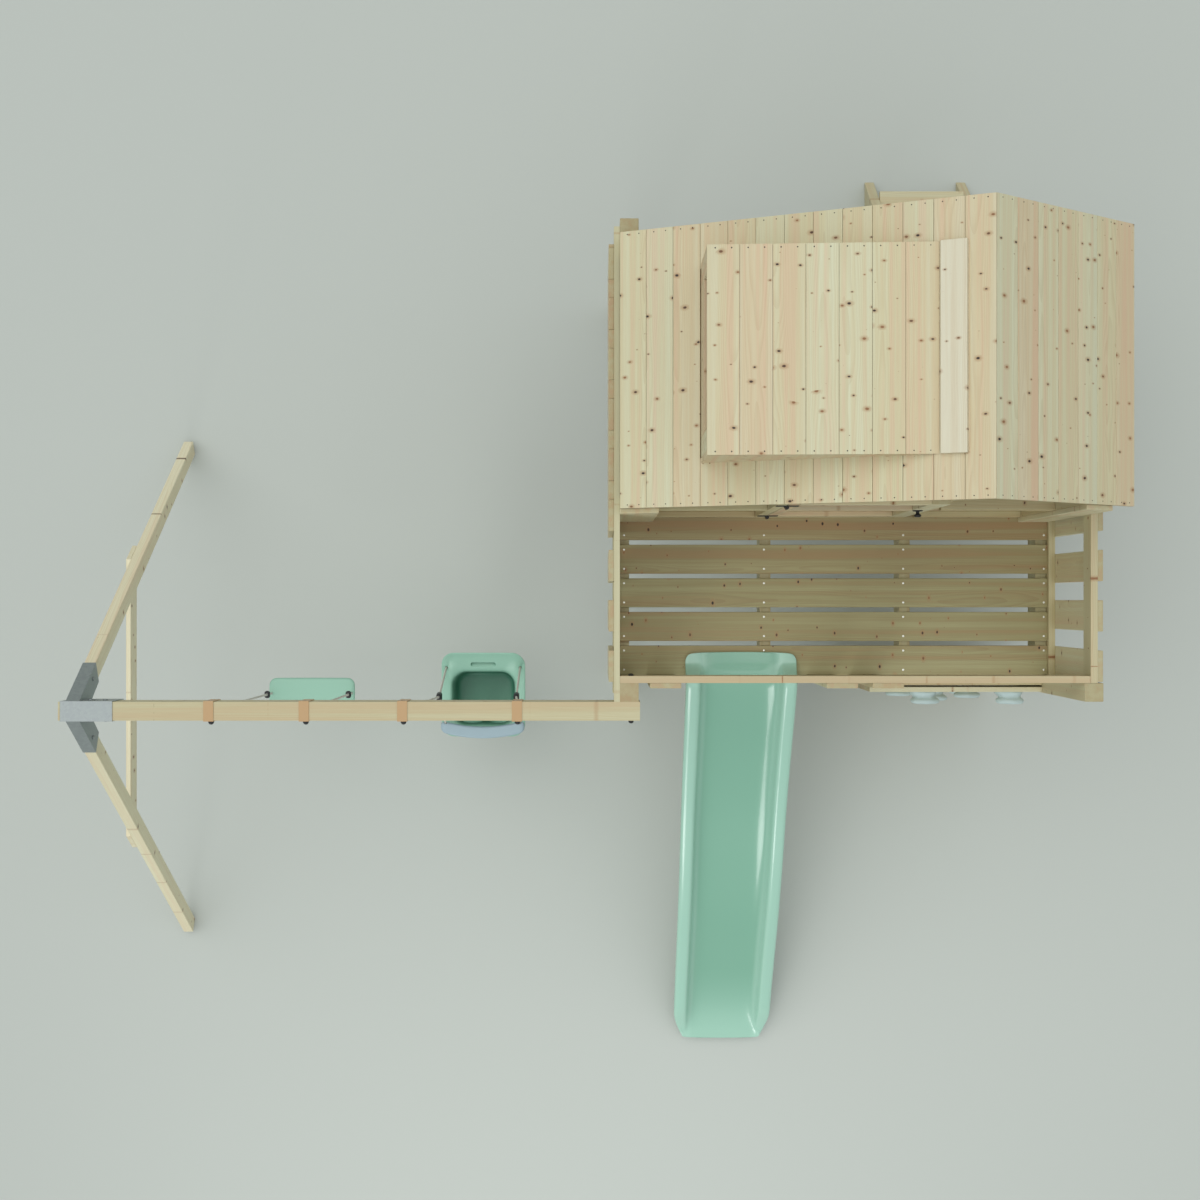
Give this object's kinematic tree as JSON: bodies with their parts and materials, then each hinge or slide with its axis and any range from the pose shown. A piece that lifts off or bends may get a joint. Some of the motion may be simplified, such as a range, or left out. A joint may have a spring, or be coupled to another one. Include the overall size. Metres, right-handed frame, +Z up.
{
  "type": "timber play tower with slide and swing arm",
  "caption": "Timber play tower with a small roofed house, railed balcony, slide, climbing wall, ladder and an arm with a flat swing and a toddler bucket swing.",
  "frame": {"origin": "centre of the south-west tower post's foot, on the ground", "axes": "+Z up, +Y from the slide towards the ladder, +X from the swing arm towards the climbing wall"},
  "size_m": [3.936, 4.105, 2.485],
  "materials": {
    "post_timber": "planed spruce",
    "framing_timber": "planed spruce",
    "board_timber": "planed spruce boards",
    "black_plastic": "moulded caps and rope adjusters",
    "galvanised_steel": "hot-dip galvanised",
    "amber_hanger": "orange-brown coated band",
    "mint_plastic": "satin moulded plastic",
    "rope": "twisted polyethylene rope",
    "lavender_plastic": "satin moulded plastic",
    "mint_gloss_plastic": "glossy moulded plastic",
    "stone_plastic": "textured moulded plastic",
    "black_steel": "black powder-coated steel"
  },
  "bodies": {
    "frame": {"post_sw": "post_timber", "post_se": "post_timber", "post_nw": "post_timber", "post_ne": "post_timber", "joists": "framing_timber", "rims": "framing_timber", "hatch_trimmer": "framing_timber", "deck_boards": "board_timber", "top_rails": "board_timber", "pickets_west": "board_timber", "pickets_east": "board_timber", "pickets_south": "board_timber", "pickets_north": "board_timber", "wall_west": "board_timber", "wall_east": "board_timber", "swing_beam": "post_timber", "beam_bolts": "black_plastic", "beam_bracket": "galvanised_steel", "bracket_bolts": "galvanised_steel", "leg_north": "post_timber", "leg_south": "post_timber", "leg_brace": "post_timber", "hangers": "amber_hanger", "hanger_caps": "black_plastic", "slide": "mint_gloss_plastic", "climb_boards": "board_timber", "climb_battens": "framing_timber", "climb_stones": "stone_plastic", "ladder_sides": "framing_timber", "ladder_treads": "framing_timber", "house_studs": "framing_timber", "roof_plates": "framing_timber", "rafters": "framing_timber", "roof_west": "board_timber", "roof_east": "board_timber", "dormer_roof": "board_timber", "dormer_cheeks": "board_timber", "dormer_front": "board_timber", "dormer_head": "board_timber", "front_trim": "board_timber", "front_rails": "framing_timber", "front_panels": "board_timber", "gable_south": "board_timber", "gable_north": "board_timber", "hinge_fixed": "black_steel"},
    "flat_swing": {"flat_seat": "mint_plastic", "flat_ropes": "rope", "flat_adjusters": "black_plastic"},
    "baby_swing": {"baby_seat": "mint_plastic", "baby_ropes": "rope", "baby_bridles": "rope", "baby_adjusters": "black_plastic"},
    "guard": {"baby_guard": "lavender_plastic"},
    "door": {"door_frame": "board_timber", "door_boards": "board_timber", "door_knob": "black_plastic", "hinge_door": "black_steel"}
  },
  "joints": [
    {"name": "flat_swing_hinge", "type": "hinge", "parent": "frame", "child": "flat_swing", "pos_m": [-1.3885, -0.07, 1.648], "axis": [1, 0, 0], "range_deg": [-55, 55]},
    {"name": "baby_swing_hinge", "type": "hinge", "parent": "frame", "child": "baby_swing", "pos_m": [-0.6315, -0.07, 1.648], "axis": [1, 0, 0], "range_deg": [-50, 50]},
    {"name": "guard_slide", "type": "slide", "parent": "baby_swing", "child": "guard", "axis": [0, 0.4049, 0.9144], "range_m": [0, 0.2]},
    {"name": "door_hinge", "type": "hinge", "parent": "frame", "child": "door", "pos_m": [0.557, 0.672, 1.71], "axis": [0, 0, 1], "range_deg": [-100, 0]}
  ]
}
